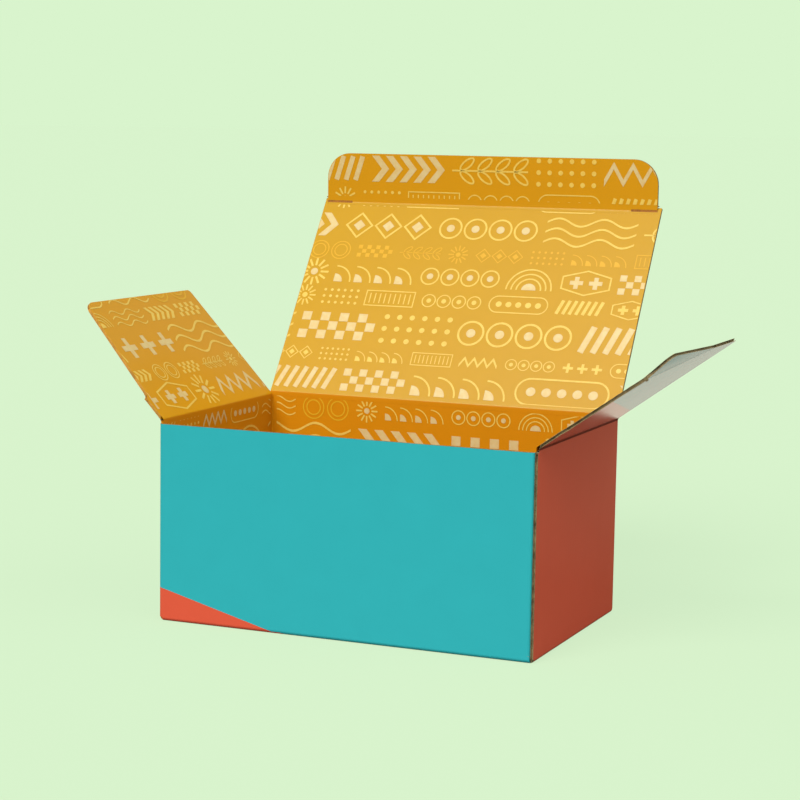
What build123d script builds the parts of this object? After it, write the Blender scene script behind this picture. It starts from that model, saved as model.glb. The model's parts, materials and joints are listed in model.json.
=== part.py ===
from build123d import *
import os
from math import cos, radians, sin, tan

# A tuck top box of printed E-flute board, standing open with its lid up and both side flaps out.
# It is one die-cut sheet. The walls and the locked bottom stay as they are folded, and the lid,
# the tuck and the two side flaps turn on their scores.
# Frame: +Z up, the front wall faces -Y, the origin is the middle of the footprint on the table.

# The box, outside
board = 1.5
box_width = 203.2
box_depth = 127.0
front_height = 101.6
fold_radius = 2.0

# Air beside a panel that slides in, between layers that lie on each other, and across a score
fit_gap = 0.3
layer_gap = 0.2
score_gap = 0.3

# Side flaps, with a shoulder at the front that locks in the slits of the tuck
flap_reach = 76.2
shoulder_reach = 13.0
shoulder_step = 3.1
shoulder_run = 3.0
flap_taper = 9.0
flap_front_radius = 7.0
flap_back_radius = 2.5
left_flap_angle = 43.5
right_flap_angle = 54.3

# Front corner of the right flap, bent up towards the inside along a slanted crease
corner_bend_depth = 16.0
corner_bend_width = 70.0
corner_bend_angle = 8.5

# Lid and tuck
lid_angle = 34.0
lid_side_gap = 0.4
tuck_reach = 28.6
tuck_angle = 35.0
tuck_radius = 14.0
slit_slant = 1.2

# Glue tab of the front wall, crushed thin and glued behind the right wall
tab_reach = 25.4
tab_board = 0.8
tab_end_gap = 3.0
tab_end_angle = 15.0
raw_edge_setback = 0.4

# Locked bottom. The front flap lies lowest, then the side flaps, then the back flap, and the
# front flap's tongue comes up through the notch of the back flap and lies on top.
side_ramp = 3.5
back_ramp = 8.0
tongue_ramp = 14.0
front_flap_reach = 67.0
tongue_reach = 100.0
tongue_width = 93.0
tongue_corner_radius = 9.0
back_flap_reach = 43.5
ear_reach_below = 94.0
ear_width = 47.0
ear_corner_radius = 7.0
side_flap_reach = 51.6
side_flap_chamfer = 30.0
side_flap_hook = 8.0
bottom_flap_radius = 3.0

# Places worked out from the sizes above
half_width = box_width / 2
half_depth = box_depth / 2
half_score = score_gap / 2
layer = board + layer_gap
flap_axis_z = front_height + layer
lid_axis_z = flap_axis_z + layer
lid_reach = box_depth - board - fit_gap
lid_half_width = half_width - lid_side_gap
lid_corner_reach = lid_reach + board + fit_gap
slit_reach = 2 * layer
slit_length = shoulder_reach + shoulder_run + slit_slant + fit_gap
score_half_length = half_width - slit_length
flap_half_length = half_depth - board - fit_gap
flap_front_step = shoulder_step - flap_half_length
flap_front_tip = flap_front_step + flap_taper
middle_radius = fold_radius - board / 2
straight_half_depth = half_depth - fold_radius
straight_half_width = half_width - fold_radius
fold_zone = fold_radius + board


def plate(outline, thickness):
    return extrude(make_face(outline), amount=thickness)


# The walls from above: the ribbon of board runs from the raw edge at the front right corner all
# round the box, and turns in behind the right wall, crushed thin, as the root of the glue tab
def wall_ribbon():
    wall_x = half_width - board / 2
    wall_y = half_depth - board / 2
    tab_x = wall_x - board
    around = FilletPolyline(
        (wall_x, raw_edge_setback - half_depth), (wall_x, wall_y), (-wall_x, wall_y),
        (-wall_x, -wall_y), (0, -wall_y), radius=[middle_radius, middle_radius, middle_radius])
    into_tab = FilletPolyline(
        (0, -wall_y), (tab_x, -wall_y), (tab_x, fold_zone - half_depth), radius=[middle_radius])
    thin_from = Pos(half_width - board - tab_board, board - half_depth)
    crushed = thin_from * Rectangle(2 * board, 2 * board, align=(Align.MAX, Align.MIN))
    return trace(around, line_width=board) + (trace(into_tab, line_width=board) - crushed)


# The upper edge of a wall that carries a hinged panel, bevelled inwards from its score.
# The wall's outer face is at y = 0 and faces -y.
def scored_edge(half_length, axis_z):
    top = axis_z - half_score
    profile = Polyline(
        (0, front_height), (0, top), (board, top - board), (board, front_height), close=True)
    return extrude(Plane.YZ * make_face(profile), amount=half_length, both=True)


def glue_tab():
    foot = fold_radius + 3 * layer
    top = front_height - tab_end_gap
    slope = tab_reach * tan(radians(tab_end_angle))
    root_y = fold_zone - half_depth - board
    side = Polyline(
        (root_y, foot), (root_y + tab_reach, foot + slope), (root_y + tab_reach, top - slope),
        (root_y, top), close=True)
    tab = extrude(Plane.YZ * make_face(side), amount=tab_board)
    return Pos(half_width - board - tab_board, 0, 0) * tab


# A bottom flap with the foot of its wall. The wall's outer face is at y = 0 and faces -y. The
# board comes down the wall to the table, turns in, and follows the course, a list of
# (way in, height) for its underside. The outline cuts it to shape from above.
def bottom_flap(course, outline, half_length):
    middle = [(board / 2, fold_zone), (board / 2, board / 2)]
    middle += [(way_in, height + board / 2) for way_in, height in course]
    bends = [middle_radius] + [board] * (len(course) - 1)
    section = trace(FilletPolyline(*middle, radius=bends), line_width=board)
    bent = extrude(Plane.YZ * section, amount=half_length, both=True)
    cutter = plate(outline, 2 * front_height)
    return bent & (Pos(0, 0, -front_height) * cutter)


def front_bottom_flap():
    edge = half_width - fold_zone - side_ramp
    tongue = tongue_width / 2
    top_layer = 3 * layer
    ramp_start = front_flap_reach + board
    course = [
        (ramp_start, 0), (ramp_start + tongue_ramp, top_layer), (tongue_reach + board, top_layer)]
    outline = FilletPolyline(
        (-straight_half_width, -board), (straight_half_width, -board),
        (straight_half_width, fold_zone), (edge, fold_zone), (edge, front_flap_reach),
        (tongue, front_flap_reach), (tongue, tongue_reach), (-tongue, tongue_reach),
        (-tongue, front_flap_reach), (-edge, front_flap_reach), (-edge, fold_zone),
        (-straight_half_width, fold_zone),
        radius=[0, 0, 0, 0, bottom_flap_radius, board, tongue_corner_radius,
                tongue_corner_radius, board, bottom_flap_radius, 0, 0], close=True)
    return Pos(0, -half_depth, 0) * bottom_flap(course, outline, straight_half_width)


# The right side's bottom flap: +x of its own outline runs towards the back of the box
def side_bottom_flap():
    front_edge = -(straight_half_depth - fold_zone)
    back_edge = half_depth - fold_zone - back_ramp
    chamfer_end = front_edge + side_flap_chamfer
    hook = side_flap_reach - side_flap_hook
    course = [
        (fold_zone, 0), (fold_zone + side_ramp, layer), (side_flap_reach + board, layer)]
    outline = FilletPolyline(
        (-straight_half_depth, -board), (straight_half_depth, -board),
        (straight_half_depth, fold_zone), (back_edge, fold_zone), (back_edge, hook),
        (back_edge - 2 * side_flap_hook, hook), (back_edge - 3 * side_flap_hook, side_flap_reach),
        (chamfer_end, side_flap_reach), (front_edge, side_flap_reach - side_flap_chamfer),
        (front_edge, fold_zone), (-straight_half_depth, fold_zone),
        radius=[0, 0, 0, 0, bottom_flap_radius, bottom_flap_radius, bottom_flap_radius,
                bottom_flap_radius, bottom_flap_radius, 0, 0], close=True)
    flap = bottom_flap(course, outline, straight_half_depth)
    return Pos(half_width, 0, 0) * (Rot(0, 0, 90) * flap)


def back_bottom_flap():
    edge = half_width - board - fold_radius
    ear_inner = edge - ear_width
    level = 2 * layer
    course = [
        (fold_zone, 0), (fold_zone + back_ramp, level), (ear_reach_below + board, level)]
    outline = FilletPolyline(
        (-straight_half_width, -board), (straight_half_width, -board),
        (straight_half_width, fold_zone), (edge, fold_zone), (edge, ear_reach_below),
        (ear_inner, ear_reach_below), (ear_inner, back_flap_reach), (-ear_inner, back_flap_reach),
        (-ear_inner, ear_reach_below), (-edge, ear_reach_below), (-edge, fold_zone),
        (-straight_half_width, fold_zone),
        radius=[0, 0, 0, 0, ear_corner_radius, ear_corner_radius, board, board,
                ear_corner_radius, ear_corner_radius, 0, 0], close=True)
    flap = bottom_flap(course, outline, straight_half_width)
    return Pos(0, half_depth, 0) * (Rot(0, 0, 180) * flap)


def box_body():
    walls = Pos(0, 0, fold_radius) * extrude(wall_ribbon(), amount=front_height - fold_radius)
    back_edge = Pos(0, half_depth, 0) * (Rot(0, 0, 180) * scored_edge(straight_half_width, lid_axis_z))
    side_edge = Pos(half_width, 0, 0) * (Rot(0, 0, 90) * scored_edge(straight_half_depth, flap_axis_z))
    side_flap = side_bottom_flap()
    return (
        walls + glue_tab() + back_edge + side_edge + mirror(side_edge, about=Plane.YZ)
        + front_bottom_flap() + side_flap + mirror(side_flap, about=Plane.YZ) + back_bottom_flap())


# A hinged panel lies flat at first: its score is the x axis, it reaches along +y, and its outer
# face is at z = 0. Its root is bevelled like the wall's edge, so that it can fold in by 90
# degrees and back nearly flat against the outside of the wall.
def root_bevel(half_length):
    wedge = Polyline(
        (half_score, 0), (half_score + board, board), (half_score, board), close=True)
    return extrude(Plane.YZ * make_face(wedge), amount=half_length, both=True)


def side_flap_panel():
    outline = FilletPolyline(
        (-flap_half_length, half_score), (-flap_half_length, shoulder_reach),
        (flap_front_step, shoulder_reach + shoulder_run), (flap_front_tip, flap_reach),
        (flap_half_length, flap_reach), (flap_half_length, half_score),
        radius=[0, fit_gap, fit_gap, flap_front_radius, flap_back_radius, 0], close=True)
    return plate(outline, board) - root_bevel(box_depth)


def bend_front_corner(flap):
    start = Vector(flap_front_tip, flap_reach - corner_bend_depth)
    along = Vector(corner_bend_width, corner_bend_depth)
    towards_corner = Vector(-corner_bend_depth, corner_bend_width)
    crease = Plane(origin=start, x_dir=along, z_dir=towards_corner)
    corner = split(flap, crease, keep=Keep.TOP)
    return split(flap, crease, keep=Keep.BOTTOM) + corner.rotate(Axis(start, along), corner_bend_angle)


# The lid ends in two corners that run on past the score of the tuck, beside its slits
def lid_panel():
    slit_end = score_half_length + slit_slant + fit_gap
    outline = Polyline(
        (-lid_half_width, half_score), (lid_half_width, half_score),
        (lid_half_width, lid_corner_reach), (slit_end, lid_corner_reach),
        (slit_end, lid_reach - half_score), (-slit_end, lid_reach - half_score),
        (-slit_end, lid_corner_reach), (-lid_half_width, lid_corner_reach), close=True)
    tuck_bevel = Pos(0, lid_reach, 0) * mirror(root_bevel(slit_end), about=Plane.XZ)
    return plate(outline, board) - root_bevel(box_width) - tuck_bevel


def tuck_panel():
    left = -(half_width - board - fit_gap)
    right = half_width - board - tab_board - fit_gap
    slit_end = score_half_length + slit_slant
    outline = FilletPolyline(
        (-score_half_length, half_score), (score_half_length, half_score),
        (slit_end, slit_reach), (right, slit_reach), (right, tuck_reach), (left, tuck_reach),
        (left, slit_reach), (-slit_end, slit_reach),
        radius=[0, 0, 0, 0, tuck_radius, tuck_radius, 0, 0], close=True)
    return plate(outline, board) - root_bevel(box_width)


# Where each panel stands at rest. A panel's z axis points to the inside of the box.
def back_plane(reach, height, lean):
    inwards = (0, -cos(radians(lean)), sin(radians(lean)))
    return Plane(origin=(0, half_depth + reach, height), x_dir=(1, 0, 0), z_dir=inwards)


def side_plane(side, lean):
    inwards = (-side * cos(radians(lean)), 0, sin(radians(lean)))
    return Plane(origin=(side * half_width, 0, flap_axis_z), x_dir=(0, -side, 0), z_dir=inwards)


lid_top_y = lid_reach * sin(radians(lid_angle))
lid_top_z = lid_axis_z + lid_reach * cos(radians(lid_angle))
mirrored_flap = mirror(bend_front_corner(side_flap_panel()), about=Plane.YZ)
nodes = {
    "box_body": box_body(),
    "lid": back_plane(0, lid_axis_z, lid_angle) * lid_panel(),
    "tuck_flap": back_plane(lid_top_y, lid_top_z, lid_angle - tuck_angle) * tuck_panel(),
    "left_dust_flap": side_plane(-1, left_flap_angle) * side_flap_panel(),
    "right_dust_flap": side_plane(1, right_flap_angle) * mirrored_flap,
}

os.makedirs("parts", exist_ok=True)
for name, solid in nodes.items():
    export_step(solid, f"parts/{name}.step")

print("lid hinge at y, z:", half_depth, lid_axis_z)
print("tuck hinge at y, z:", round(half_depth + lid_top_y, 4), round(lid_top_z, 4))
print("side flap hinges at x, z:", half_width, flap_axis_z)
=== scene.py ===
import json
import math

import bmesh
import bpy
from mathutils import Matrix, Vector, geometry


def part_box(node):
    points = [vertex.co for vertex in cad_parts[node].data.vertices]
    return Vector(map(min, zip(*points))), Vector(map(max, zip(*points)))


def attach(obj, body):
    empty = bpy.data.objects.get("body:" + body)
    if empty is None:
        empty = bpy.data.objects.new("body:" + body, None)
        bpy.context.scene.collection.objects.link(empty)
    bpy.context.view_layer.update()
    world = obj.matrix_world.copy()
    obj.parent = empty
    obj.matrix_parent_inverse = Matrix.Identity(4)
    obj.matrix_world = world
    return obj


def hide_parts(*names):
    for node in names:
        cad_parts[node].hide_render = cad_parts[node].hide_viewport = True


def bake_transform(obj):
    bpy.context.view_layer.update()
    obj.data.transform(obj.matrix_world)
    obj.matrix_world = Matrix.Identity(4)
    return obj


# Looks of the tuck top box: litho-printed E-flute board, teal and red outside, orange inside.
# Lengths in the dictionaries are in millimetres, and mm turns them to metres.
mm = 0.001

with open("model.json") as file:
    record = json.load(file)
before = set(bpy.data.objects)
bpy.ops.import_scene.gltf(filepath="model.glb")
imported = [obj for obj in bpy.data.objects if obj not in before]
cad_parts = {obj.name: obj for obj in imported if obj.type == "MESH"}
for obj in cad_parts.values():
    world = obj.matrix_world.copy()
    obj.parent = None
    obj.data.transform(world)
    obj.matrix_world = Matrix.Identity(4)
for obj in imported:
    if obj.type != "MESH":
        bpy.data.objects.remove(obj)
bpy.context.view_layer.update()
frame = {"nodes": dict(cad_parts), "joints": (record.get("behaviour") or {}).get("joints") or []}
bpy.ops.object.select_all(action="DESELECT")
joints = {joint["name"]: joint for joint in frame["joints"]}
boardSize = {
    "thickness": 1.5,
    "flutePitch": 3.4,
    "liner": 0.24,
    "grooveDepth": 1.0,
    "grooveTaper": 0.01,
    "edgeSoftness": 0.1,
}
thickness = boardSize["thickness"]
halfWidth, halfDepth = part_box("box_body")[1].x / mm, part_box("box_body")[1].y / mm
# Points nearer than weld are one, and the angles in degrees tell flat, smooth and crushed edges apart
weld, flatUpTo, smoothUpTo, crushedFrom = 0.001, 0.5, 35.0, 40.0
# How squarely a face looks some way, as the cosine of the angle between
exactly, squarely, mostly, partly, barely = 0.98, 0.9, 0.5, 0.3, 0.2
print("frame loaded")


def linear(hexColour):
    # sRGB hex to linear RGBA
    parts = [int(hexColour[i:i + 2], 16) / 255 for i in (1, 3, 5)]
    return tuple(c / 12.92 if c <= 0.04045 else ((c + 0.055) / 1.055) ** 2.4 for c in parts) + (1.0,)


def addNode(tree, kind, inputs=None, **settings):
    # one node with its settings; each input is given a value or another node's output
    node = tree.nodes.new(kind)
    for name, value in settings.items():
        setattr(node, name, value)
    for name, value in (inputs or {}).items():
        if isinstance(value, bpy.types.NodeSocket):
            tree.links.new(value, node.inputs[name])
        else:
            node.inputs[name].default_value = value
    return node


def newMaterial(name):
    material = bpy.data.materials.new(name)
    material.use_nodes = True
    material.node_tree.nodes.clear()
    return material, material.node_tree


def finishMaterial(material, shader):
    addNode(material.node_tree, "ShaderNodeOutputMaterial", {"Surface": shader.outputs[0]})
    return material


def finishSurface(material, colour, roughness, specular, relief):
    surface = {"Base Color": colour, "Roughness": roughness, "Specular IOR Level": specular}
    if relief:
        surface["Normal"] = relief
    return finishMaterial(material, addNode(material.node_tree, "ShaderNodeBsdfPrincipled", surface))


# The blank: the box unfolded flat, as it is printed. along runs leftwards round the outside from
# the front left corner, and height is the distance above the table. Each panel has its own frame:
# x along its score, y up the panel, z from the outer face to the inner one.
def panelFrame(origin, up, inwards, along, height):
    across = up.cross(inwards)
    place = Matrix((across, up, inwards)).transposed().to_4x4()
    place.translation = origin
    return {"place": place, "back": place.inverted(), "along": along, "height": height}


def hingedPanel(nodeName, jointName, along, height):
    # the pivot lies on the outer face, so the side that the board is on is the inside
    pivot = Vector(joints[jointName]["pos_m"])
    mesh = frame["nodes"][nodeName].data
    middle = sum((v.co for v in mesh.vertices), Vector()) / len(mesh.vertices) - pivot
    inwards = max(mesh.polygons, key=lambda face: face.area).normal.copy()
    if middle.dot(inwards) < 0:
        inwards.negate()
    up = inwards.cross(Vector(joints[jointName]["axis"])).normalized()
    if middle.dot(up) < 0:
        up.negate()
    return panelFrame(pivot, up, inwards, along, height)


toX, toY, toZ = Vector((1, 0, 0)), Vector((0, 1, 0)), Vector((0, 0, 1))
atFront, atBack = Vector((0, -halfDepth * mm, 0)), Vector((0, halfDepth * mm, 0))
atLeft, atRight = Vector((-halfWidth * mm, 0, 0)), Vector((halfWidth * mm, 0, 0))
lidHeight = joints["lid_hinge"]["pos_m"][2] / mm
flapHeight = joints["left_flap_hinge"]["pos_m"][2] / mm
lidReach = (Vector(joints["tuck_hinge"]["pos_m"]) - Vector(joints["lid_hinge"]["pos_m"])).length / mm
frontAlong, leftAlong = -halfWidth, halfDepth
backAlong, rightAlong = 2 * halfDepth + halfWidth, 3 * halfDepth + 2 * halfWidth
sides = {
    "front": (atFront, toY, frontAlong),
    "left": (atLeft, toX, leftAlong),
    "back": (atBack, -toY, backAlong),
    "right": (atRight, -toX, rightAlong),
}
panels = {
    "lid": hingedPanel("lid", "lid_hinge", backAlong, lidHeight),
    "tuck": hingedPanel("tuck_flap", "tuck_hinge", backAlong, lidHeight + lidReach),
    "leftFlap": hingedPanel("left_dust_flap", "left_flap_hinge", leftAlong, flapHeight),
    "rightFlap": hingedPanel("right_dust_flap", "right_flap_hinge", rightAlong, flapHeight),
}
for side, (origin, inwards, along) in sides.items():
    panels[side + "Wall"] = panelFrame(origin, toZ, inwards, along, 0)
    panels[side + "Bottom"] = panelFrame(origin, -inwards, toZ, along, 0)
# the body that each panel moves with
bodyOf = {name: "body" for name in panels}
bodyOf.update({"lid": "lid", "tuck": "tuck", "leftFlap": "left_flap", "rightFlap": "right_flap"})
print("panels placed on the blank")


# Materials. The print and the board's relief read the piece's own UV map, blank, which is the place on
# the flat blank in metres. The inks on top and the raw edges read the piece's own coordinates.
printLook = {
    "teal": "#2DA1B0",
    "red": "#CA533E",
    "orange": "#BE860C",
    # the same orange in a lit and a shaded copy: yellower on the lid as painted light, redder on the walls as
    # painted shade
    "lidOrangePaintedLit": "#B0850A",
    "wallOrangePaintedShaded": "#BE7B0C",
    "cream": "#C5B286",
    "paleYellow": "#D2B458",
    "deepOrange": "#C89A22",
    # the colour that the print on score lines is painted darker towards
    "crease": "#3A1A14",
    "diagonalAtCorner": 17.6,
    "diagonalOnFront": 0.259,
    "diagonalRoundTheBack": 0.2825,
    "filmShade": 1.0,
    "filmRoughness": 0.16,
    "filmSpecular": 0.06,
    "crushedShade": 0.25,
    "crushedRoughness": 0.7,
    "pressedShade": 0.7,
    "pressedRoughness": 0.4,
    "inkRoughness": 0.27,
    "inkSpecular": 0.25,
    "thinPatch": 2.5,
    "thinFrom": 0.35,
    "thinTo": 0.75,
    "thinnest": 0.3,
    "cloudSize": 16.667,
    "cloudAmount": 0.03,
}
reliefLook = {
    "depth": 0.02,
    "toothSize": 1.1111,
    "sagSize": 45.4545,
    "ridgeShare": 0.5,
    "sagShare": 6.0,
    "outsideStrength": 0.35,
    "insideStrength": 0.3,
}
kraftLook = {
    "edge": "#8A7A58",
    "edgeDark": "#4A3C28",
    "clean": "#C08A34",
    "cleanDark": "#9A6C24",
    # the slits' kraft in painted shade: darker than the cut edges
    "slit": "#9C6216",
    "slitDark": "#6E4010",
    "fibreSize": 0.55556,
    "patchSize": 3.84615,
    "darkUpTo": 0.12,
    "lightFrom": 0.34,
    "reliefStrength": 0.5,
    "reliefDepth": 0.05,
    "roughness": 0.85,
    "specular": 0.5,
}


def blankPlace(tree):
    return addNode(tree, "ShaderNodeUVMap", uv_map="blank").outputs["UV"]


def ownPlace(tree):
    return addNode(tree, "ShaderNodeTexCoord").outputs["Object"]


def calculated(tree, operation, *values):
    return addNode(tree, "ShaderNodeMath", dict(enumerate(values)), operation=operation).outputs[0]


def ranged(tree, value, limits):
    return addNode(tree, "ShaderNodeMapRange", {"Value": value, **limits}).outputs[0]


def mixedColour(tree, share, first, second):
    # sockets 6 and 7 take the mix node's two colours, and 2 gives the result
    return addNode(tree, "ShaderNodeMix", {0: share, 6: first, 7: second}, data_type="RGBA").outputs[2]


def noise(tree, place, size, detail):
    # clouds about size millimetres across, with detail finer layers in them
    inputs = {"Vector": place, "Scale": 1 / (size * mm), "Detail": detail}
    return addNode(tree, "ShaderNodeTexNoise", inputs).outputs["Fac"]


def bumped(tree, height, strength, depth):
    inputs = {"Height": height, "Strength": strength, "Distance": depth * mm}
    return addNode(tree, "ShaderNodeBump", inputs).outputs[0]


def boardRelief(tree, strength):
    # faint ridges where the outer paper sinks between the flutes, and a finer paper tooth
    place = blankPlace(tree)
    parts = addNode(tree, "ShaderNodeSeparateXYZ", {"Vector": place})
    turns = calculated(tree, "MULTIPLY", parts.outputs["X"], 2 * math.pi / (boardSize["flutePitch"] * mm))
    ridge = calculated(tree, "SINE", turns)
    tooth = noise(tree, place, reliefLook["toothSize"], detail=3.0)
    sag = noise(tree, place, reliefLook["sagSize"], detail=2.0)
    ridged = calculated(tree, "MULTIPLY_ADD", ridge, reliefLook["ridgeShare"], tooth)
    height = calculated(tree, "MULTIPLY_ADD", sag, reliefLook["sagShare"], ridged)
    return bumped(tree, height, strength, reliefLook["depth"])


def mottled(tree, colour):
    # ink lies a little unevenly on the paper
    cloud = noise(tree, blankPlace(tree), printLook["cloudSize"], detail=4.0)
    amount = printLook["cloudAmount"]
    value = ranged(tree, cloud, {"To Min": 1 - amount, "To Max": 1 + amount})
    return addNode(tree, "ShaderNodeHueSaturation", {"Color": colour, "Value": value}).outputs[0]


def printedOutside(name, state):
    # litho print under satin film: teal with one red field whose edge climbs round the box. The film mirrors
    # the studio only at a glancing look. On a score the print is painted darker, much darker on the right
    # flap's score and a little on the others.
    material, tree = newMaterial(name)
    parts = addNode(tree, "ShaderNodeSeparateXYZ", {"Vector": blankPlace(tree)})
    frontRise = calculated(tree, "MULTIPLY", parts.outputs["X"], printLook["diagonalOnFront"])
    backRise = calculated(tree, "MULTIPLY", parts.outputs["X"], printLook["diagonalRoundTheBack"])
    rise = calculated(tree, "MAXIMUM", frontRise, backRise)
    border = calculated(tree, "ADD", rise, printLook["diagonalAtCorner"] * mm)
    above = calculated(tree, "GREATER_THAN", parts.outputs["Y"], border)
    fields = mixedColour(tree, above, linear(printLook["red"]), linear(printLook["teal"]))
    shaded = mixedColour(tree, 1 - printLook[state + "Shade"], fields, linear(printLook["crease"]))
    return finishSurface(material, mottled(tree, shaded), printLook[state + "Roughness"],
                         printLook["filmSpecular"], boardRelief(tree, reliefLook["outsideStrength"]))


def printedInside(name, hexColour):
    # the same board's inner face: one warm orange ink, a little less glossy. Its colour is given part by
    # part: redder down inside the box as painted shade, and yellower up on the lid as painted light.
    material, tree = newMaterial(name)
    return finishSurface(material, mottled(tree, linear(hexColour)), printLook["inkRoughness"],
                         printLook["inkSpecular"], boardRelief(tree, reliefLook["insideStrength"]))


def printedInk(name, hexColour):
    # a flat ink laid over the orange, with the same sheen, a little thin in places
    material, tree = newMaterial(name)
    cloud = noise(tree, ownPlace(tree), printLook["thinPatch"], detail=3.0)
    thin = ranged(tree, cloud, {"From Min": printLook["thinFrom"], "From Max": printLook["thinTo"],
                                "To Min": 0.0, "To Max": printLook["thinnest"]})
    colour = mixedColour(tree, thin, linear(hexColour), linear(printLook["orange"]))
    return finishSurface(material, colour, printLook["inkRoughness"], printLook["inkSpecular"], relief=None)


def bareKraft(name, part):
    # cut kraft board: brown, matt and fibrous, darker where the fibres are crushed
    material, tree = newMaterial(name)
    place = ownPlace(tree)
    fibres = noise(tree, place, kraftLook["fibreSize"], detail=4.0)
    patches = noise(tree, place, kraftLook["patchSize"], detail=2.0)
    both = calculated(tree, "MULTIPLY", fibres, patches)
    share = ranged(tree, both, {"From Min": kraftLook["darkUpTo"], "From Max": kraftLook["lightFrom"]})
    colour = mixedColour(tree, share, linear(kraftLook[part + "Dark"]), linear(kraftLook[part]))
    relief = bumped(tree, fibres, kraftLook["reliefStrength"], kraftLook["reliefDepth"])
    return finishSurface(material, colour, kraftLook["roughness"], kraftLook["specular"], relief)


outsideMaterial = printedOutside("satinLaminatedOutside", "film")
# score lines: the print painted darker, much darker on the right flap's and a little on the others
creaseMaterial = printedOutside("scoreLinePaintedMuchDarker", "crushed")
softCreaseMaterial = printedOutside("scoreLinePaintedLittleDarker", "pressed")
insideMaterial = printedInside("satinOrangeOnTheFlaps", printLook["orange"])
# the lid's and the walls' copies of the orange carry painted light and painted shade
lidInsidePaintedLitMaterial = printedInside("satinOrangeOnTheLidPaintedLit", printLook["lidOrangePaintedLit"])
wallInsidePaintedShadedMaterial = printedInside("satinOrangeOnTheWallsPaintedShaded", printLook["wallOrangePaintedShaded"])
edgeMaterial = bareKraft("cutKraftEdge", "edge")
cleanEdgeMaterial = bareKraft("cleanCutKraft", "clean")
# kraft with painted shade, for the strips that fill the slits
slitPaintedShadeMaterial = bareKraft("kraftInTheSlitPaintedShade", "slit")
innerMaterials = {name: insideMaterial for name in ("tuck", "leftFlap", "rightFlap")}
innerMaterials.update({name: wallInsidePaintedShadedMaterial for name in ("leftWall", "backWall", "rightWall")})
innerMaterials["lid"] = lidInsidePaintedLitMaterial
inks = {
    "bold": printedInk("creamInk", printLook["cream"]),
    "line": printedInk("paleYellowInk", printLook["paleYellow"]),
    "tone": printedInk("deepOrangeInk", printLook["deepOrange"]),
}
outside, inside, edge = 0, 1, 2   # the boards' material slots
print("materials made")


def newObject(name, data):
    piece = bpy.data.objects.new(name, data)
    bpy.context.scene.collection.objects.link(piece)
    return piece


def newPlane(name, place):
    # a unit square, drawn at the origin and moved and sized by place
    bpy.ops.mesh.primitive_plane_add(size=1, location=(0, 0, 0))
    piece = bpy.context.active_object
    piece.name = name
    piece.data.transform(place)
    return piece


def coat(piece, *materials):
    piece.data.materials.clear()
    for material in materials:
        piece.data.materials.append(material)


def chooseOnly(piece):
    bpy.ops.object.select_all(action="DESELECT")
    piece.select_set(True)
    bpy.context.view_layer.objects.active = piece


def openForEdit(piece, action="SELECT"):
    chooseOnly(piece)
    bpy.ops.object.mode_set(mode="EDIT")
    bpy.ops.mesh.select_all(action=action)


def closeEdit():
    bpy.ops.object.mode_set(mode="OBJECT")
    bpy.ops.object.select_all(action="DESELECT")


def applyModifiers(piece):
    chooseOnly(piece)
    for name in [modifier.name for modifier in piece.modifiers]:
        bpy.ops.object.modifier_apply(modifier=name)
    piece.select_set(False)


def pick(piece, test):
    # in edit mode, selects the points that pass the test, with what lies between them
    bpy.ops.mesh.select_all(action="DESELECT")
    shape = bmesh.from_edit_mesh(piece.data)
    for point in shape.verts:
        point.select_set(test(point.co))
    shape.select_flush(True)
    bmesh.update_edit_mesh(piece.data)


def drawOut(across, up, off=0):
    # in edit mode, draws the chosen points, edges or faces out by that much
    bpy.ops.mesh.extrude_region_move(TRANSFORM_OT_translate={"value": (across, up, off)})


def pointOutwards(piece):
    openForEdit(piece)
    bpy.ops.mesh.normals_make_consistent(inside=False)
    closeEdit()


def smoothByAngle(piece):
    chooseOnly(piece)
    bpy.ops.object.shade_smooth_by_angle(angle=math.radians(smoothUpTo))
    piece.select_set(False)


def layOnBlank(piece, panelOf):
    # writes the blank map: each face is unfolded with the panel that it belongs to
    layer = piece.data.uv_layers.new(name="blank")
    for face in piece.data.polygons:
        panel = panels[panelOf(face.center, face.normal)]
        for corner in face.loop_indices:
            flat = panel["back"] @ piece.data.vertices[piece.data.loops[corner].vertex_index].co
            layer.data[corner].uv = (panel["along"] * mm + flat.x, panel["height"] * mm + flat.y)


def grooveEdges(piece, isOpen):
    # at a raw edge the two papers stand and the space between them is open
    openForEdit(piece, "DESELECT")
    shape = bmesh.from_edit_mesh(piece.data)
    for face in shape.faces:
        face.select_set(face.material_index == edge and isOpen(face.calc_center_median(), face.normal))
    bmesh.update_edit_mesh(piece.data)
    bpy.ops.mesh.inset(thickness=boardSize["liner"] * mm, use_even_offset=False)
    bpy.ops.mesh.inset(thickness=boardSize["grooveTaper"] * mm, depth=-boardSize["grooveDepth"] * mm,
                       use_even_offset=False)
    closeEdit()


# A cut edge's flutes are open where it looks this much up its panel, as the cosine of the angle between
openAtTipAndSides, openAtTip = -0.6, 0.5


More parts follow.
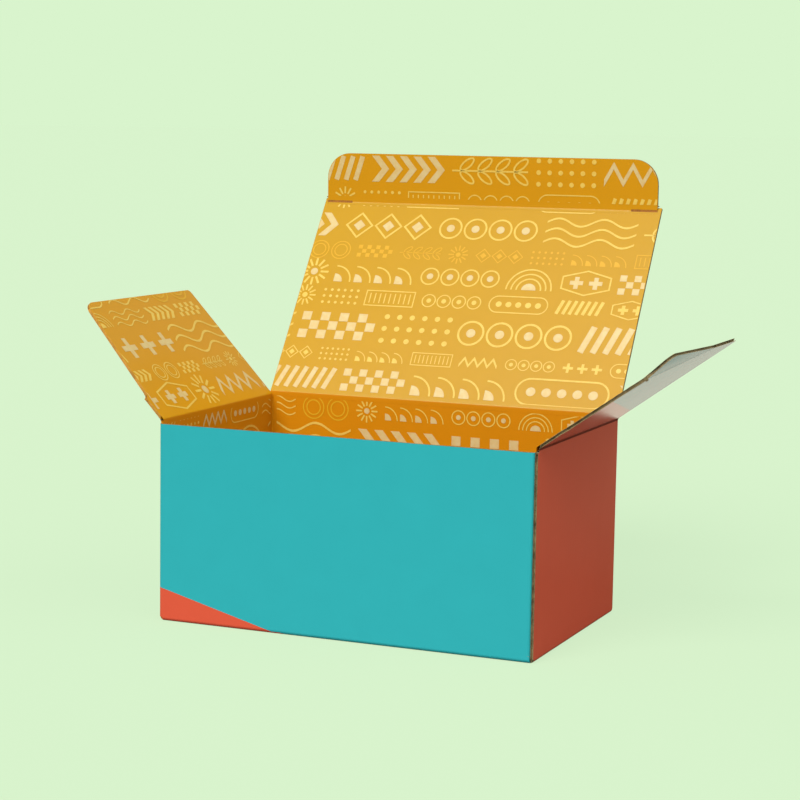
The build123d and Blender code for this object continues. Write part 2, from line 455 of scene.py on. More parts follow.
# Boards: each is the CAD panel with its triangles merged, so that the printed faces and the raw edges
# can take their own materials, and with its cut edges a little crushed and opened.
def boardFrom(nodeName, pieceName, bodyName, panelOf, sideOf, isOpen, innerMaterial, cutMaterial):
    piece = newObject(pieceName, frame["nodes"][nodeName].data.copy())
    for layer in list(piece.data.uv_layers):
        piece.data.uv_layers.remove(layer)
    coat(piece, outsideMaterial, innerMaterial, cutMaterial)
    openForEdit(piece)
    bpy.ops.mesh.remove_doubles(threshold=weld * mm)
    bpy.ops.mesh.dissolve_limited(angle_limit=math.radians(flatUpTo))
    closeEdit()
    for face in piece.data.polygons:
        face.material_index = sideOf(face.center, face.normal)
    soften = piece.modifiers.new("crushed edges", "BEVEL")
    soften.width = boardSize["edgeSoftness"] * mm
    soften.segments = 2
    soften.limit_method = "ANGLE"
    soften.angle_limit = math.radians(crushedFrom)
    applyModifiers(piece)
    grooveEdges(piece, isOpen)
    layOnBlank(piece, panelOf)
    smoothByAngle(piece)
    flatten = piece.modifiers.new("flat faces stay flat", "WEIGHTED_NORMAL")
    flatten.weight = 100
    flatten.keep_sharp = True
    applyModifiers(piece)
    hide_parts(nodeName)
    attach(piece, bodyName)
    return piece


def hingedBoard(nodeName, panelName, openFrom=openAtTipAndSides, cutMaterial=edgeMaterial):
    inwards = panels[panelName]["place"].to_3x3() @ toZ
    up = panels[panelName]["place"].to_3x3() @ toY

    def sideOf(centre, normal):
        if normal.dot(inwards) > mostly:
            return inside
        return outside if normal.dot(inwards) < -squarely else edge

    def isOpen(centre, normal):
        return abs(normal.dot(inwards)) < barely and normal.dot(up) > openFrom

    return boardFrom(nodeName, panelName + "Board", bodyOf[panelName], lambda centre, normal: panelName,
                     sideOf, isOpen, innerMaterials[panelName], cutMaterial)


# Heights and depths on the folded box, which tell its layers apart. The glue tab lies behind the right
# wall, and the rim is the front wall's top.
layerSize = {
    "frontHeight": 101.6,
    "frontFlapTop": 1.6,
    "sideFlapTop": 3.3,
    "backFlapTop": 5.0,
    "bottomTop": 7.5,
    "frontFlapReach": 67.0,
    "walls": 4.0,
    "tabReach": 30.0,
    "tabFront": 1.3,
    "tabBack": 3.0,
    "wall": 2.0,
    "slack": 0.2,
    "rim": 0.1,
}


def isOnTab(x, y, normal):
    # the outer face of the glue tab
    onTab = x > halfWidth - layerSize["tabBack"] and y < layerSize["tabReach"] - halfDepth
    return onTab and normal.x > partly


def wallOf(centre, normal):
    # the wall that a point of the box belongs to, by the direction that its face looks in
    x, y, z = centre / mm
    if isOnTab(x, y, normal) and x < halfWidth - layerSize["tabFront"]:
        return "frontWall"
    if abs(normal.x) > abs(normal.y):
        return "rightWall" if x > 0 else "leftWall"
    return "backWall" if y > 0 else "frontWall"


def bodyPanel(centre, normal):
    x, y, z = centre / mm
    size = layerSize
    atSide = "rightBottom" if x > 0 else "leftBottom"
    if z > size["bottomTop"] or abs(normal.z) < mostly:
        return wallOf(centre, normal)
    if z < size["frontFlapTop"] or z > size["backFlapTop"]:
        nearFront = y < size["frontFlapReach"] - halfDepth or z > size["backFlapTop"]
        if nearFront and halfWidth - abs(x) > size["walls"]:
            return "frontBottom"
        return "backBottom" if halfDepth - y < halfWidth - abs(x) else atSide
    return atSide if z < size["sideFlapTop"] else "backBottom"


def bodySide(centre, normal):
    x, y, z = centre / mm
    size = layerSize
    isLow = z < size["bottomTop"]
    beyondX, beyondY = abs(x) - halfWidth, abs(y) - halfDepth
    beyond = max(beyondX, beyondY)   # 0 on the outer faces and minus the board on the inner ones
    outwards = normal.x * math.copysign(1, x) if beyondX > beyondY else normal.y * math.copysign(1, y)
    if z > size["frontHeight"] - size["rim"]:
        if normal.z > squarely:
            return edge
        if normal.z > mostly:
            return inside
    if normal.z < -mostly:
        return outside if isLow and x < halfWidth - size["walls"] or z < size["wall"] else edge
    if normal.z > mostly:
        return inside if isLow else edge
    if normal.y < -squarely and x > halfWidth - size["wall"] and beyondY < -size["slack"]:
        return edge
    if isOnTab(x, y, normal):
        return outside
    if beyond > -thickness / 2 and outwards > barely:
        return outside
    if isLow and beyond < -thickness - size["slack"]:
        return edge
    return inside


def bodyIsOpen(centre, normal):
    # the front wall's top and the right wall's edge at the front
    x, y, z = centre / mm
    wall = layerSize["wall"]
    onTop = z > layerSize["frontHeight"] - layerSize["rim"] and y < wall - halfDepth
    onEdge = x > halfWidth - wall and z > wall
    return onTop and normal.z > exactly or onEdge and normal.y < -exactly


boardFrom("box_body", "boxBoard", "body", bodyPanel, bodySide, bodyIsOpen, wallInsidePaintedShadedMaterial,
          edgeMaterial)
# the left flap's side edges are cut along the flutes: closed and clean
boards = {
    "lid": hingedBoard("lid", "lid"),
    "tuck": hingedBoard("tuck_flap", "tuck"),
    "leftFlap": hingedBoard("left_dust_flap", "leftFlap", openAtTip, cleanEdgeMaterial),
    "rightFlap": hingedBoard("right_dust_flap", "rightFlap"),
}
print("boards made")


# Folds: both papers run on over a score. A thin strip closes the groove on the inner side, another is
# the pressed line on the outer side, and each is bent between the two bodies that it joins.
foldSize = {
    "grooveReach": 2.1,
    "slitReach": 3.7,
    "creaseReach": 0.6,
    "lift": 0.03,
    "paper": 0.05,
    "valleyRadius": 1.5,
    "turnSteps": 8,
    "blendReach": 0.1,
    "flapHalfLength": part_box("left_dust_flap")[1].y / mm,
    "lidHalfLength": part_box("lid")[1].x / mm,
    "tuckLeft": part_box("tuck_flap")[0].x / mm,
    "tuckRight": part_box("tuck_flap")[1].x / mm,
    "tuckScoreHalf": 84.1,
    "tuckTurn": 35.0,
}


def foldStrip(pieceName, wallName, flapName, ends, side, reaches, materials, lift):
    # drawn across the fold with y up the wall, z inwards and the pivot at the origin. The materials are
    # the wall's and the flap's.
    wall, flap = panels[wallName], panels[flapName]
    place = wall["place"].copy()
    place.translation = flap["place"].translation
    flapUp = place.to_3x3().inverted() @ (flap["place"].to_3x3() @ toY)
    turn = math.atan2(-flapUp.z, flapUp.y)   # positive where the flap leans outwards
    inwards = 1 if side == inside else -1
    depth = thickness + lift if side == inside else -lift
    if (turn > 0) == (side == inside):
        near, middle = 0, 0   # over the hill the paper turns about the pivot
    else:
        near = (abs(depth) + foldSize["valleyRadius"]) * math.tan(abs(turn) / 2)
        middle = depth + inwards * foldSize["valleyRadius"]
    wallReach, flapReach = reaches
    middleX, middleY = (ends[0] + ends[1]) / 2 * mm, -(wallReach + near) / 2 * mm
    size = Matrix.Diagonal(((ends[1] - ends[0]) * mm, (wallReach - near) * mm, 1, 1))
    strip = newPlane(pieceName, Matrix.Translation((middleX, middleY, depth * mm)) @ size)
    openForEdit(strip)
    pick(strip, lambda co: co.y > middleY)
    bpy.ops.mesh.spin(steps=foldSize["turnSteps"], angle=turn, center=(0, -near * mm, middle * mm),
                      axis=(1, 0, 0))
    drawOut(*flapUp * (flapReach - near) * mm)
    bpy.ops.mesh.select_all(action="SELECT")
    bpy.ops.mesh.remove_doubles(threshold=weld * mm)
    closeEdit()
    paper = strip.modifiers.new("paper", "SOLIDIFY")
    paper.thickness = foldSize["paper"] * mm
    paper.offset = 0
    applyModifiers(strip)
    pointOutwards(strip)
    strip.data.transform(place)
    onwards = wall["place"].to_3x3() @ toY + flap["place"].to_3x3() @ toY

    def isOnWall(centre):
        return (centre - place.translation).dot(onwards) < 0

    coat(strip, *materials)
    for face in strip.data.polygons:
        face.material_index = 0 if isOnWall(face.center) else 1
    layOnBlank(strip, lambda centre, normal: wallName if isOnWall(centre) else flapName)
    smoothByAngle(strip)
    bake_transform(strip)


def foldBothSides(wallName, flapName, ends, reach, crease):
    size = foldSize
    wide = (size["grooveReach"], reach)
    thin = (size["creaseReach"], max(size["creaseReach"], reach - size["grooveReach"]))
    inner = (innerMaterials[wallName], innerMaterials[flapName])
    foldStrip(flapName + "Fold", wallName, flapName, ends, inside, wide, inner, size["lift"])
    foldStrip(flapName + "Crease", wallName, flapName, ends, outside, thin, (crease, crease), size["lift"])


def makeFolds():
    size = foldSize
    flapEnds = (-size["flapHalfLength"], size["flapHalfLength"])
    lidEnds = (-size["lidHalfLength"], size["lidHalfLength"])
    tuckEnds = (size["tuckLeft"], size["tuckRight"])
    foldBothSides("leftWall", "leftFlap", flapEnds, size["grooveReach"], softCreaseMaterial)
    foldBothSides("rightWall", "rightFlap", flapEnds, size["grooveReach"], creaseMaterial)
    foldBothSides("backWall", "lid", lidEnds, size["grooveReach"], softCreaseMaterial)
    foldBothSides("lid", "tuck", tuckEnds, size["slitReach"], softCreaseMaterial)


makeFolds()
print("folds made")


# Back corners: the board runs on round them between the flaps' folds and the lid's, so that no light
# comes through. The spans are from the box's middle, and up from the table.
cornerSize = {
    "across": (99.5, 101.58),
    "along": (61.75, 63.48),
    "up": (101.4, 103.25),
    "radius": 1.9,
    "rounding": 4,
}


def makeCorner(pieceName, side):
    spans = [cornerSize[name] for name in ("across", "along", "up")]
    middle = Vector([(low + high) / 2 * mm for low, high in spans])
    middle.x *= side
    extent = [(high - low) * mm for low, high in spans]
    bpy.ops.mesh.primitive_cube_add(size=1, location=(0, 0, 0))
    corner = bpy.context.active_object
    corner.name = pieceName
    corner.data.transform(Matrix.Translation(middle) @ Matrix.Diagonal((*extent, 1)))
    openForEdit(corner)
    pick(corner, lambda co: co.y > middle.y and (co.x - middle.x) * side > 0)
    bpy.ops.mesh.bevel(offset=cornerSize["radius"] * mm, segments=cornerSize["rounding"], affect="EDGES")
    closeEdit()
    pointOutwards(corner)
    coat(corner, outsideMaterial, wallInsidePaintedShadedMaterial)
    for face in corner.data.polygons:
        face.material_index = 0 if max(face.normal.y, face.normal.x * side) > barely else 1
    layOnBlank(corner, lambda centre, normal: "backWall")
    smoothByAngle(corner)
    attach(corner, "body")


makeCorner("backLeftCorner", -1)
makeCorner("backRightCorner", 1)
print("corners made")


# Slits: strips of bare kraft lie in the slits beside the ends of the tuck's score, made dark with painted
# shade
slitSize = {
    "halfWidth": 0.17,
    "lift": 0.1,
    "onLid": 0.05,
}


def makeSlits():
    size = foldSize
    radius = thickness + slitSize["lift"] + size["valleyRadius"]
    reach = radius * math.tan(math.radians(size["tuckTurn"]) / 2)
    reaches = (reach + slitSize["onLid"], reach + 2 * slitSize["halfWidth"])
    ends = {"tuckSlitLeft": (size["tuckLeft"], -size["tuckScoreHalf"]),
            "tuckSlitRight": (size["tuckScoreHalf"], size["tuckRight"])}
    for name, span in ends.items():
        foldStrip(name, "lid", "tuck", span, inside, reaches, (slitPaintedShadeMaterial, slitPaintedShadeMaterial), slitSize["lift"])


makeSlits()
print("slits made")


# Print on the inside: one all-over pattern of plain geometric motifs in cream and pale yellow, in rows
# across the blank, so that each panel shows its own stretch and its edges cut motifs off
printSize = {
    "boldLine": 2.5,
    "fineLine": 0.85,
    "rowPitch": 17.8,
    "firstHeight": 2.0,
    "lastHeight": 262.0,
    "firstAlong": -206.0,
    "lastAlong": 470.0,
    "gap": 4.5,
    "rowSlide": 11.0,
    "inkLift": 0.07,
    "inkThickness": 0.04,
    "clearOfEdge": 0.3,
    "tallestHalf": 0.6,
    "footReach": 2.5,
    "smallestBend": 50.0,
    "steepestBend": 0.95,
    "slightestBend": 0.999,
    "cornerSegments": 7,
    "hair": 0.01,
}


def inked(piece, ink):
    coat(piece, inks[ink])
    return piece


def flatPlane(width, height, x=0, y=0):
    return newPlane("motif", Matrix.Translation((x, y, 0)) @ Matrix.Diagonal((width, height, 1, 1)))


def flatPolygon(sides, radius):
    bpy.ops.mesh.primitive_circle_add(vertices=sides, radius=radius, fill_type="NGON", location=(0, 0, 0))
    return bpy.context.active_object


def roundedPlane(width, height, radius):
    piece = flatPlane(width, height)
    openForEdit(piece)
    bpy.ops.mesh.bevel(offset=radius, segments=printSize["cornerSegments"], affect="VERTICES")
    closeEdit()
    return piece


def outlined(piece, line):
    # keeps only a border of the shape
    openForEdit(piece)
    bpy.ops.mesh.inset(thickness=line, use_even_offset=True)
    bpy.ops.mesh.delete(type="FACE")
    closeEdit()
    return piece


def ribbon(steps, line):
    # a band that is drawn out step by step, upright at its ends
    piece = flatPlane(steps[0][0], line, steps[0][0] / 2)
    openForEdit(piece)
    pick(piece, lambda co: co.x > steps[0][0] / 2)
    bpy.ops.transform.translate(value=(0, steps[0][1], 0))
    for across, rise in steps[1:]:
        drawOut(across, rise)
    closeEdit()
    return piece


def arcBand(inner, outer, degrees, steps):
    # a level edge turned about the middle, left over from a plane that stands on it
    piece = flatPlane(width=outer - inner, height=1, x=(inner + outer) / 2, y=0.5)
    openForEdit(piece)
    pick(piece, lambda co: co.y > 0.5)
    bpy.ops.mesh.delete(type="VERT")
    bpy.ops.mesh.select_all(action="SELECT")
    bpy.ops.mesh.spin(steps=steps, angle=math.radians(-degrees), center=(0, 0, 0), axis=(0, 0, 1))
    bpy.ops.mesh.select_all(action="SELECT")
    bpy.ops.mesh.remove_doubles(threshold=weld)
    closeEdit()
    return piece


def together(pieces):
    chooseOnly(pieces[0])
    for piece in pieces:
        piece.select_set(True)
    if len(pieces) > 1:
        bpy.ops.object.join()
    pieces[0].select_set(False)
    return pieces[0]


def laidOut(piece, places):
    # copies of a shape at (x, y, degrees), each with its own mesh, joined
    pieces = []
    for x, y, degrees in places:
        another = newObject(piece.name, piece.data.copy())
        another.data.transform(Matrix.Translation((x, y, 0)) @ Matrix.Rotation(math.radians(degrees), 4, "Z"))
        pieces.append(another)
    bpy.data.objects.remove(piece)
    return together(pieces)


def inRow(piece, count, pitch, degrees=0):
    return laidOut(piece, [((i - (count - 1) / 2) * pitch, 0, degrees) for i in range(count)])


def gridPlaces(columns, rows, pitch):
    return [((i - (columns - 1) / 2) * pitch, (j - (rows - 1) / 2) * pitch, 0)
            for i in range(columns) for j in range(rows)]


def inTwoInks(lines, solids):
    return together([inked(lines, "line"), inked(solids, "bold")])


def squeezed(piece, across, up):
    piece.data.transform(Matrix.Diagonal((across, up, 1, 1)))
    return piece


def plusSign(size, line):
    # each side of a square drawn out into an arm
    piece = flatPlane(line, line)
    arm = (size - line) / 2
    for across, up in ((1, 0), (0, 1), (-1, 0), (0, -1)):

        def isOnSide(co):
            isOut = abs(co.x * across + co.y * up - line / 2) < printSize["hair"]
            return isOut and abs(co.x * up) + abs(co.y * across) < line

        openForEdit(piece)
        pick(piece, isOnSide)
        drawOut(across * arm, up * arm)
        closeEdit()
    return piece


bold, fine, pinhole = printSize["boldLine"], printSize["fineLine"], printSize["hair"]


def zigzagMotif():
    across, rise = 4.6, 8
    band = ribbon([(across, rise), (across, -rise)] * 4, bold * 1.35)
    band.data.transform(Matrix.Translation((0, -rise / 2, 0)))
    return inked(band, "bold")


def waveMotif():
    count, length, swing, apart = 32, 42.0, 2.0, 5.2
    heights = [swing * math.sin(4 * math.pi * i / count) for i in range(count + 1)]
    steps = [(length / count, heights[i + 1] - heights[i]) for i in range(count)]
    wave = ribbon(steps, fine * 1.15)
    return inked(laidOut(wave, [(-length / 2, y, 0) for y in (-apart, 0, apart)]), "line")


def plusMotif():
    return inked(inRow(plusSign(9.5, bold), count=3, pitch=13.5), "bold")


def dotCapsuleMotif():
    capsule = roundedPlane(width=46, height=14.5, radius=7.2)
    dots = inRow(flatPolygon(20, 2.3), count=5, pitch=7.6)
    return inTwoInks(outlined(capsule, fine), dots)


def barsMotif():
    return inked(inRow(flatPlane(bold, height=12), count=7, pitch=5, degrees=-18), "bold")


def archMotif():
    radii = (13.5, 10.5, 7.5)
    bands = [inked(arcBand(outer - fine, outer, degrees=180, steps=18), "line") for outer in radii]
    middle = inked(arcBand(pinhole, 4.2, degrees=180, steps=12), "bold")
    arches = together(bands + [middle])
    arches.data.transform(Matrix.Translation((0, -6, 0)))
    return arches


def hexagonMotif():
    border = outlined(squeezed(flatPolygon(6, 9.6), across=1.7, up=0.84), fine)
    signs = inRow(plusSign(7.5, bold), count=2, pitch=11)
    return inTwoInks(border, signs)


def ringsMotif():
    rings = inRow(outlined(flatPolygon(28, 5.6), fine), count=4, pitch=12)
    dots = inRow(flatPolygon(16, 1.9), count=4, pitch=12)
    return inTwoInks(rings, dots)


def diamondsMotif():
    borders = inRow(outlined(flatPolygon(4, 7), fine), count=3, pitch=14.5)
    middles = inRow(flatPolygon(4, 2.9), count=3, pitch=14.5)
    return inTwoInks(borders, middles)


def checkerMotif():
    # every other square: there are three to a column, so they alternate through the whole list
    pitch, share = 4.1, 0.94
    places = gridPlaces(columns=8, rows=3, pitch=pitch)[::2]
    return inked(laidOut(flatPlane(pitch * share, pitch * share), places), "bold")


def burstMotif():
    rays = laidOut(flatPlane(width=5, height=fine * 1.5, x=6.4), [(0, 0, 30 * i) for i in range(12)])
    return inTwoInks(rays, flatPolygon(20, 2.2))


def dotsMotif():
    dot = flatPolygon(12, 1.15)
    return inked(laidOut(dot, gridPlaces(columns=6, rows=3, pitch=5.4)), "line")


def chevronMotif():
    across, rise = 6.2, 5.2
    chevron = ribbon([(across, rise), (across, -rise)], bold * 1.5)
    centred = Matrix.Translation((-across, -rise / 2, 0))
    chevron.data.transform(Matrix.Rotation(math.radians(-90), 4, "Z") @ centred)
    return inked(inRow(chevron, count=5, pitch=7.2), "bold")


def sprigMotif():
    pitch, rise, lean = 9, 3.1, 38
    places = [(pitch * (i - 1.5), rise * side, lean * side) for i in range(4) for side in (1, -1)]
    leaf = outlined(squeezed(flatPolygon(20, 4.6), across=1, up=0.46), fine)
    stem = flatPlane(width=38, height=fine, x=-2)
    return together([inked(laidOut(leaf, places), "line"), inked(stem, "line")])


def quarterMotif():
    places = [(12.5 * i, -6, 0) for i in range(4)]
    quarters = laidOut(arcBand(pinhole, 5.2, degrees=90, steps=8), places)
    borders = laidOut(arcBand(10.6 - fine, 10.6, degrees=90, steps=10), places)
    return together([inked(quarters, "bold"), inked(borders, "line")])


def ladderMotif():
    border = outlined(flatPlane(width=40, height=13.5), fine)
    rungs = inRow(flatPlane(fine, height=8.5), count=9, pitch=4)
    return together([inked(border, "line"), inked(rungs, "line")])


def toneRingsMotif():
    rings = [outlined(flatPolygon(36, outer), fine * 1.2) for outer in (9.2, 6.2)]
    return inked(inRow(together(rings), count=2, pitch=20.5), "tone")


motifMakers = (
    zigzagMotif, ringsMotif, plusMotif, dotCapsuleMotif, archMotif, barsMotif, waveMotif, hexagonMotif,
    chevronMotif, toneRingsMotif, checkerMotif, sprigMotif, burstMotif, diamondsMotif, dotsMotif,
    quarterMotif, ladderMotif)
# Rows from the table upwards: scale, the motif it starts with, how far on the next one is in the list, and
# the one ink of a row that is all in one
printRows = (
    (1.3, 4, 3, None), (0.7, 6, 5, "line"), (1.05, 2, 3, None), (0.62, 3, 1, "tone"), (1.35, 11, 2, None),
    (0.72, 7, 3, None), (1.15, 16, 5, None), (0.6, 0, 1, "line"), (1.4, 3, 4, None), (0.75, 9, 2, "line"),
    (1.0, 5, 3, None), (0.66, 14, 1, "tone"), (1.25, 12, 5, None), (0.8, 9, 2, "line"), (1.2, 1, 3, None),
    (0.66, 15, 4, None))


def makeMotifs():
    motifs = []
    for maker in motifMakers:
        motif = maker()
        across = [point.co.x for point in motif.data.vertices]
        centre = (min(across) + max(across)) / 2
        motif.data.transform(Matrix.Translation((-centre, 0, 0)))
        motifs.append({"mesh": motif.data, "width": max(across) - min(across)})
        bpy.data.objects.remove(motif)
    return motifs


def printPlaces(motifs):
    # every motif of the whole print, with its place on the blank
    places = []
    floorOfRow, row = printSize["firstHeight"], 0
    while floorOfRow < printSize["lastHeight"]:
        scale, kind, step, oneInk = printRows[row % len(printRows)]
        along = printSize["firstAlong"] - printSize["rowSlide"] * (row % 3)
        height = floorOfRow + printSize["rowPitch"] * scale / 2
        while along < printSize["lastAlong"]:
            motif = motifs[kind % len(motifs)]
            half = motif["width"] * scale / 2
            places.append({"mesh": motif["mesh"], "along": along + half, "height": height, "half": half,
                           "scale": scale, "oneInk": oneInk})
            along += 2 * half + printSize["gap"]
            kind += step
        floorOfRow += printSize["rowPitch"] * scale
        row += 1
    return places


def cutAlong(piece, point, outwards, clear):
    openForEdit(piece)
    bpy.ops.mesh.bisect(plane_co=point, plane_no=outwards, clear_outer=clear, use_fill=False)
    closeEdit()


def stamped(pieceName, place, x, y):
    # one motif of the print, drawn at its place on a panel
    another = newObject(pieceName, place["mesh"].copy())
    size = Matrix.Diagonal((place["scale"], place["scale"], 1, 1))
    another.data.transform(Matrix.Translation((x, y, 0)) @ size)
    if place["oneInk"]:
        for i in range(len(another.data.materials)):
            another.data.materials[i] = inks[place["oneInk"]]
    return another


def printPanel(panelName, outline, places, bent=None):
    # the print inside one panel's convex outline, given as corners in millimetres on the panel
    pieceName, panel = panelName + "Print", panels[panelName]
    low = Vector((min(x for x, y in outline), min(y for x, y in outline)))
    high = Vector((max(x for x, y in outline), max(y for x, y in outline)))
    found = []
    for place in places:
        x, y = place["along"] - panel["along"], place["height"] - panel["height"]
        tall = printSize["rowPitch"] * place["scale"] * printSize["tallestHalf"]
        if low.x - place["half"] < x < high.x + place["half"] and low.y - tall < y < high.y + tall:
            found.append(stamped(pieceName, place, x, y))
    piece = together(found)
    piece.name = pieceName
    for i, corner in enumerate(outline):
        onwards = Vector(outline[(i + 1) % len(outline)]) - Vector(corner)
        normal = Vector((onwards.y, -onwards.x, 0)).normalized()
        inset = Vector((corner[0], corner[1], 0)) - normal * printSize["clearOfEdge"]
        cutAlong(piece, inset, normal, True)
    lift = thickness + printSize["inkLift"]
    piece.data.transform(Matrix.Translation((0, 0, lift)))
    if bent:
        away = (thickness - bent["point"].z) / bent["rise"].length_squared
        crease = bent["point"] + away * bent["rise"]
        cutAlong(piece, (crease.x, crease.y, 0), bent["rise"], False)
        for point in piece.data.vertices:
            rise = (point.co - bent["point"]).dot(bent["rise"]) + bent["point"].z
            point.co.z = max(lift, rise + printSize["inkLift"])
    openForEdit(piece)
    drawOut(0, 0, printSize["inkThickness"])
    closeEdit()
    pointOutwards(piece)
    piece.data.transform(panel["place"] @ Matrix.Scale(mm, 4))
    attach(piece, bodyOf[panelName])


# How far up each panel its print runs, half its width at the foot, and where the flaps' shoulders end
printLimits = {
    "lid": {"low": 1.35, "high": 123.1, "foot": 101.2, "shoulder": 0.0},
    "tuck": {"low": 3.6, "high": 40.0, "foot": 101.2, "shoulder": 0.0},
    "leftFlap": {"low": 1.35, "high": 90.0, "foot": 60.7, "shoulder": 15.5},
    "rightFlap": {"low": 1.35, "high": 90.0, "foot": 60.7, "shoulder": 15.5},
}


def hingedOutline(board, panelName):
    # the hull of the panel's inner face, kept clear of the folds, the slits and the flaps' shoulders
    back = panels[panelName]["back"]
    limits = printLimits[panelName]
    points = []
    for face in board.data.polygons:
        if face.material_index != inside:
            continue
        for i in face.vertices:
            spot = back @ board.data.vertices[i].co / mm
            if spot.y <= printSize["footReach"]:
                points.append(Vector((max(-limits["foot"], min(limits["foot"], spot.x)), limits["low"])))
            elif spot.y > limits["shoulder"]:
                points.append(Vector((spot.x, max(limits["low"], min(limits["high"], spot.y)))))
    return [tuple(points[i]) for i in geometry.convex_hull_2d(points)]


def bentCorner(board, panelName):
    # the plane of the corner that is bent up: a point of it, and its rise per millimetre of the panel
    back = panels[panelName]["back"]
    corner, largest = None, printSize["smallestBend"] * mm * mm
    for face in board.data.polygons:
        normal = back.to_3x3() @ face.normal
        isBent = printSize["steepestBend"] < normal.z < printSize["slightestBend"]
        if face.material_index == inside and isBent and face.area > largest:
            largest = face.area
            rise = Vector((-normal.x / normal.z, -normal.y / normal.z, 0))
            corner = {"point": back @ face.center / mm, "rise": rise}
    return corner


# Where the print inside each wall ends: left, right, low and high
wallPrints = {
    "frontWall": (-97.0, 97.0, 8.0, 101.0),
    "leftWall": (-60.0, 60.0, 6.0, 101.5),
    "backWall": (-97.5, 97.5, 8.0, 103.2),
    "rightWall": (-60.0, 33.0, 6.0, 101.5),
}


def makePrint():
    places = printPlaces(makeMotifs())
    for panelName, board in boards.items():
        printPanel(panelName, hingedOutline(board, panelName), places, bentCorner(board, panelName))
    for panelName, (left, right, low, high) in wallPrints.items():
        outline = [(left, low), (right, low), (right, high), (left, high)]
        printPanel(panelName, outline, places)


makePrint()
print("inside print made")


# Fluting: the wavy middle paper shows in the raw edges that cut across it. Along the other edges it only
# leaves the open channel. One wave is drawn and copied.
flutingSize = {
    "paper": 0.16,
    "depth": 0.95,
    "below": 0.08,
    "stepsPerWave": 10,
    "fit": 0.98,
    "clearOfCorner": 2.0,
    "clearOfEnd": 0.5,
    "nearMiddle": 0.6,
    "level": 0.01,
}


def makeFluting(pieceName, panelName, span, top):
    size = flutingSize
    pitch, steps = boardSize["flutePitch"], size["stepsPerWave"]
    swing = (thickness / 2 - boardSize["liner"] - size["paper"] / 2) * size["fit"]
    heights = [swing * math.sin(2 * math.pi * i / steps) for i in range(steps + 1)]
    wave = ribbon([(pitch / steps, heights[i + 1] - heights[i]) for i in range(steps)], size["paper"])
    count = int((span[1] - span[0]) / pitch)
    first = (span[0] + span[1] - count * pitch) / 2
    paper = laidOut(wave, [(first + i * pitch, 0, 0) for i in range(count)])
    paper.name = pieceName
    openForEdit(paper)
    bpy.ops.mesh.remove_doubles(threshold=weld)
    drawOut(0, 0, size["depth"])
    closeEdit()
    # its depth runs down the panel from just under the edge, and its waves run across the thickness
    turned = Matrix(((1, 0, 0), (0, 0, -1), (0, 1, 0))).to_4x4()
    turned.translation = (0, top - size["below"], thickness / 2)
    paper.data.transform(panels[panelName]["place"] @ Matrix.Scale(mm, 4) @ turned)
    pointOutwards(paper)
    coat(paper, edgeMaterial)
    smoothByAngle(paper)
    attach(paper, bodyOf[panelName])


def tipSpan(board, panelName):
    # the straight part of the raw edge at the panel's far end, and how far up it is
    size = flutingSize
    points = [panels[panelName]["back"] @ point.co / mm for point in board.data.vertices]
    top = max(co.y for co in points if abs(co.z - thickness / 2) < size["nearMiddle"])
    ends = [co.x for co in points if abs(co.y - top) < size["level"]]
    return (min(ends) + size["clearOfEnd"], max(ends) - size["clearOfEnd"]), top


def makeFlutings():
    front = halfWidth - thickness - flutingSize["clearOfCorner"]
    makeFluting("frontFluting", "frontWall", (-front, front), layerSize["frontHeight"])
    for panelName in ("tuck", "leftFlap", "rightFlap"):
        span, top = tipSpan(boards[panelName], panelName)
        makeFluting(panelName + "Fluting", panelName, span, top)


makeFlutings()
print("fluting made")


# Stage: a pale floor, soft studio light, and the camera at the photo's angle
stageLook = {
    "backdrop": "#D9F4CD",
    "floorPaint": "#B6C9B7",
    "floorBounce": "#75726A",
    "floorSize": 400000.0,
    "skyColour": "#ECFFDE",
    "skyStrength": 0.55,
    "lampColour": "#FFF8EE",
    "keyStrength": 3.56,
    "keySheen": 0.1,
    "keyDirection": (-0.12, -0.7, 0.68),
    "keySoftness": 40.0,
    "fillStrength": 1.2,
    "fillSheen": 0.3,
    "fillDirection": (0.8, -0.2, 0.56),
    "fillSoftness": 80.0,
    "cardColour": "#FFF6DF",
    "cardStrength": 1.03,
    "cardSize": (300.0, 110.0),
    "cardPlace": (0.0, 300.0),
    "glowShare": 0.85,
    "softboxSize": (700.0, 600.0),
    "softboxPlace": (-150.0, -540.0, 1400.0),
    "softboxColour": "#FFFFFF",
    "softboxStrength": 0.7,
}
cameraLook = {
    "focalPixels": 2153.0,
    "framePixels": 800.0,
    "sensor": 36.0,
    "yaw": 22.97,
    "pitch": 7.18,
    "roll": 0.95,
    "place": (432.2, -1010.7, 251.9),
}


def glowing(tree, colour, strength=1.0):
    return addNode(tree, "ShaderNodeEmission", {"Color": linear(colour), "Strength": strength})


def matt(tree, colour):
    return addNode(tree, "ShaderNodeBsdfDiffuse", {"Color": linear(colour)})


def backdrop(tree, colour, strength=1.0):
    return addNode(tree, "ShaderNodeBackground", {"Color": linear(colour), "Strength": strength})


def mixedShader(tree, share, first, second):
    return addNode(tree, "ShaderNodeMixShader", {0: share, 1: first.outputs[0], 2: second.outputs[0]})


def forCamera(tree, seen, others):
    # one shader for what the camera sees and another for the light that the box gets
    ray = addNode(tree, "ShaderNodeLightPath")
    return mixedShader(tree, ray.outputs["Is Camera Ray"], others, seen)


def makeFloor():
    # an even pale floor, with a neutral bounce
    floor = newPlane("floor", Matrix.Scale(stageLook["floorSize"] * mm, 4))
    material, tree = newMaterial("paleFloor")
    seen = mixedShader(tree, stageLook["glowShare"], matt(tree, stageLook["floorPaint"]),
                       glowing(tree, stageLook["backdrop"]))
    coat(floor, finishMaterial(material, forCamera(tree, seen, matt(tree, stageLook["floorBounce"]))))
    floor.select_set(False)


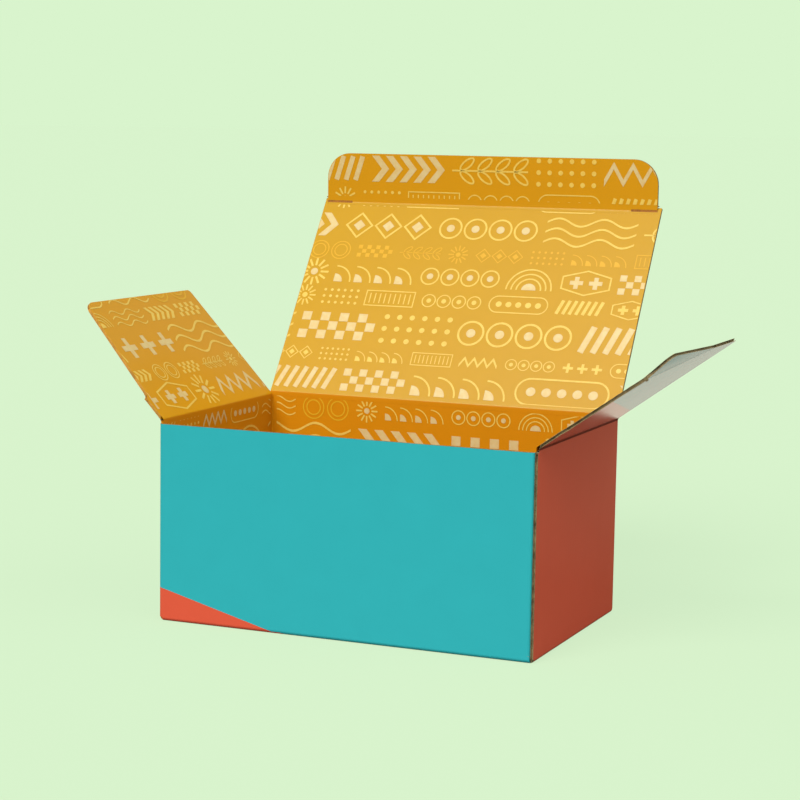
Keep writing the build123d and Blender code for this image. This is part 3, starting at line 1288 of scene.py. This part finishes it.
def makeReflector(name, look, materialName, place):
    # a glowing rectangle that only mirrors see
    width, height = stageLook[look + "Size"]
    reflector = newPlane(name, place @ Matrix.Diagonal((width * mm, height * mm, 1, 1)))
    material, tree = newMaterial(materialName)
    glow = glowing(tree, stageLook[look + "Colour"], stageLook[look + "Strength"])
    coat(reflector, finishMaterial(material, glow))
    reflector.visible_camera = False
    reflector.visible_diffuse = False
    reflector.visible_shadow = False
    reflector.select_set(False)


def makeReflectors():
    # a lit card behind the box, which the film of the right flap mirrors, and a softbox over it, which
    # gives the inks on the lid their soft light on the right
    upright = Matrix((toX, toZ, -toY)).transposed().to_4x4()
    upright.translation = Vector((*stageLook["cardPlace"], stageLook["cardSize"][1] / 2)) * mm
    makeReflector("reflectorCard", "card", "whiteCard", upright)
    above = Vector(stageLook["softboxPlace"]) * mm
    tilt = above.to_track_quat("Z", "Y").to_matrix().to_4x4()
    makeReflector("softbox", "softbox", "softboxCloth", Matrix.Translation(above) @ tilt)


def makeWorld():
    # neutral light from all round, and the backdrop's own colour where the camera looks past the floor
    world = bpy.data.worlds.new("studio")
    bpy.context.scene.world = world
    world.use_nodes = True
    tree = world.node_tree
    tree.nodes.clear()
    light = backdrop(tree, stageLook["skyColour"], stageLook["skyStrength"])
    seen = backdrop(tree, stageLook["backdrop"])
    addNode(tree, "ShaderNodeOutputWorld", {"Surface": forCamera(tree, seen, light).outputs[0]})


def makeLights():
    # a key from the front left, and a fill from the right that is as wide as a wall of cloth
    for name in ("key", "fill"):
        light = bpy.data.lights.new(name + "Light", "SUN")
        light.energy = stageLook[name + "Strength"]
        light.color = linear(stageLook["lampColour"])[:3]
        light.angle = math.radians(stageLook[name + "Softness"])
        light.specular_factor = stageLook[name + "Sheen"]
        lamp = newObject(name + "Light", light)
        lamp.rotation_euler = Vector(stageLook[name + "Direction"]).to_track_quat("Z", "Y").to_euler()


def makeCamera():
    yaw, pitch, roll = (math.radians(cameraLook[name]) for name in ("yaw", "pitch", "roll"))
    data = bpy.data.cameras.new("camera")
    data.sensor_width = cameraLook["sensor"]
    data.lens = cameraLook["focalPixels"] / cameraLook["framePixels"] * cameraLook["sensor"]
    camera = newObject("camera", data)
    tilt = Matrix.Rotation(math.pi / 2 - pitch, 4, "X") @ Matrix.Rotation(roll, 4, "Z")
    place = Matrix.Translation(Vector(cameraLook["place"]) * mm)
    camera.matrix_world = place @ Matrix.Rotation(yaw, 4, "Z") @ tilt
    bpy.context.scene.camera = camera


makeFloor()
makeReflectors()
makeWorld()
makeLights()
makeCamera()
bpy.context.scene.view_settings.view_transform = "Standard"
print("stage, lights and camera made")
